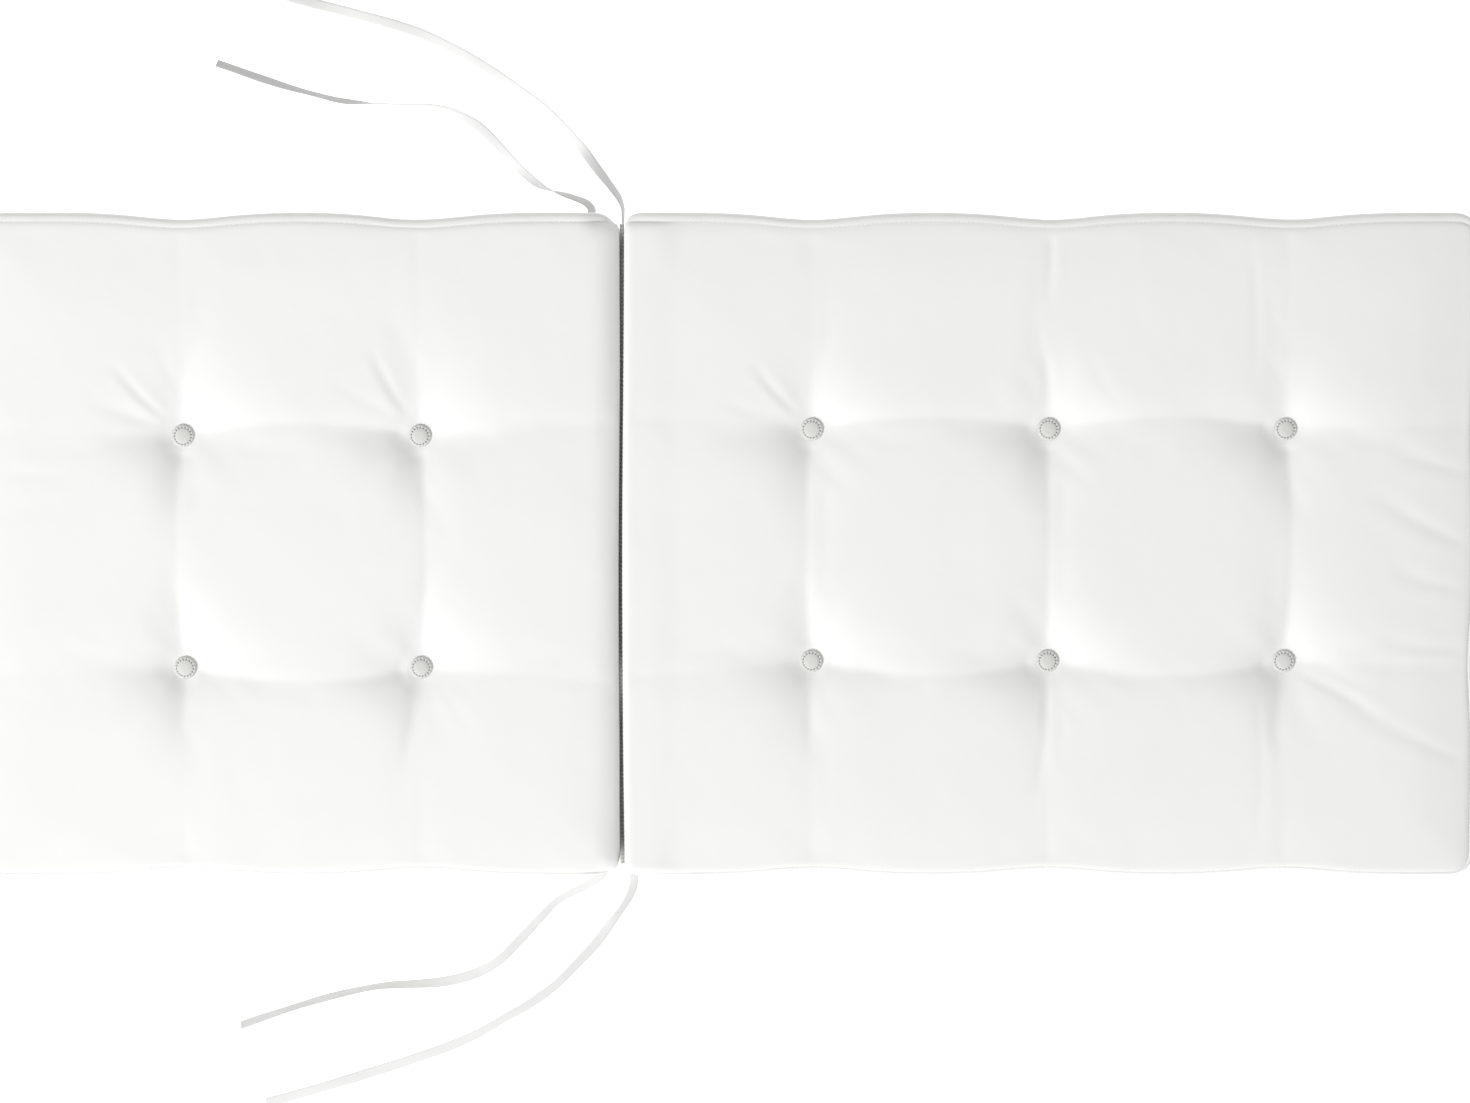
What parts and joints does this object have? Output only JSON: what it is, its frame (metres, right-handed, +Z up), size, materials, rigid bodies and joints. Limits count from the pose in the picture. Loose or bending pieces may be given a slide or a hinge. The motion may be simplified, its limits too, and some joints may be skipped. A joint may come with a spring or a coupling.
{
  "type": "chair seat pad",
  "caption": "Tufted fabric chair pad with a seat section and a longer back section joined by a sewn fold, covered buttons, foam filling and tie tapes at the fold",
  "frame": {"origin": "middle of the underside of the pad lying flat and opened out, ties left out", "axes": "+X from the seat section to the back section, +Y to the right-hand side of a sitter, +Z up out of the top face"},
  "size_m": [1.134, 0.8652, 0.05],
  "materials": {
    "cover_cloth": "matt off-white woven cotton",
    "band_cloth": "matt off-white woven cotton",
    "filling_foam": "cream soft foam",
    "button_cloth": "matt off-white cloth gathered over a shell",
    "plate_metal": "plain stamped metal",
    "under_button_plastic": "satin white plastic",
    "twine_thread": "waxed twisted thread",
    "web_cloth": "matt off-white cloth, shaded in the groove",
    "tie_tape": "flat woven cotton tape"
  },
  "bodies": {
    "seat": {"seat_top_panel": "cover_cloth", "seat_bottom_panel": "cover_cloth", "seat_side_band": "band_cloth", "seat_filling": "filling_foam", "seat_button_1": "button_cloth", "seat_button_plate_1": "plate_metal", "seat_under_button_1": "under_button_plastic", "seat_twine_1": "twine_thread", "seat_button_2": "button_cloth", "seat_button_plate_2": "plate_metal", "seat_under_button_2": "under_button_plastic", "seat_twine_2": "twine_thread", "seat_button_3": "button_cloth", "seat_button_plate_3": "plate_metal", "seat_under_button_3": "under_button_plastic", "seat_twine_3": "twine_thread", "seat_button_4": "button_cloth", "seat_button_plate_4": "plate_metal", "seat_under_button_4": "under_button_plastic", "seat_twine_4": "twine_thread", "fold_web": "web_cloth", "tie_seat_right": "tie_tape", "tie_back_right": "tie_tape", "tie_seat_left": "tie_tape", "tie_back_left": "tie_tape"},
    "back": {"back_top_panel": "cover_cloth", "back_bottom_panel": "cover_cloth", "back_side_band": "band_cloth", "back_filling": "filling_foam", "back_button_1": "button_cloth", "back_button_plate_1": "plate_metal", "back_under_button_1": "under_button_plastic", "back_twine_1": "twine_thread", "back_button_2": "button_cloth", "back_button_plate_2": "plate_metal", "back_under_button_2": "under_button_plastic", "back_twine_2": "twine_thread", "back_button_3": "button_cloth", "back_button_plate_3": "plate_metal", "back_under_button_3": "under_button_plastic", "back_twine_3": "twine_thread", "back_button_4": "button_cloth", "back_button_plate_4": "plate_metal", "back_under_button_4": "under_button_plastic", "back_twine_4": "twine_thread", "back_button_5": "button_cloth", "back_button_plate_5": "plate_metal", "back_under_button_5": "under_button_plastic", "back_twine_5": "twine_thread", "back_button_6": "button_cloth", "back_button_plate_6": "plate_metal", "back_under_button_6": "under_button_plastic", "back_twine_6": "twine_thread"}
  },
  "joints": [
    {"name": "fold", "type": "hinge", "parent": "seat", "child": "back", "pos_m": [-0.08, 0, 0.0505], "axis": [0, -1, 0], "range_deg": [0, 180]}
  ]
}
